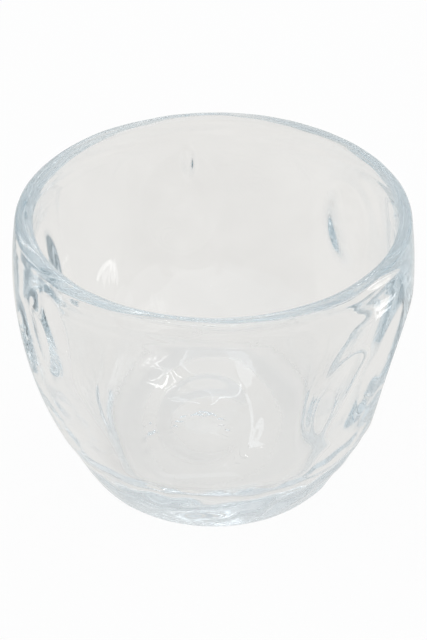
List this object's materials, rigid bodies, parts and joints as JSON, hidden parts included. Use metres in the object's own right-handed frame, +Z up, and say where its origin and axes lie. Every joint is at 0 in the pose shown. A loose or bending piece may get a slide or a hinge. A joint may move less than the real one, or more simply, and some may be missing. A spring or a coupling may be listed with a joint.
{
  "type": "mixing glass",
  "caption": "Wide bowl-shaped stirring glass of thick clear glass, with seven hand-pressed thumb dimples round the outside, a rounded lip and a heavy flat foot.",
  "frame": {"origin": "on the axis of the bowl, in the plane that the foot rests on", "axes": "+Z up along the axis of the bowl, -Y towards the first dimple, which lies 2 degrees to its right"},
  "size_m": [0.1, 0.0999, 0.076],
  "materials": {
    "clear_glass": "clear, fire-polished, with a faint blue tint in the thick places"
  },
  "bodies": {
    "root": {"glass_body": "clear_glass"}
  },
  "joints": []
}
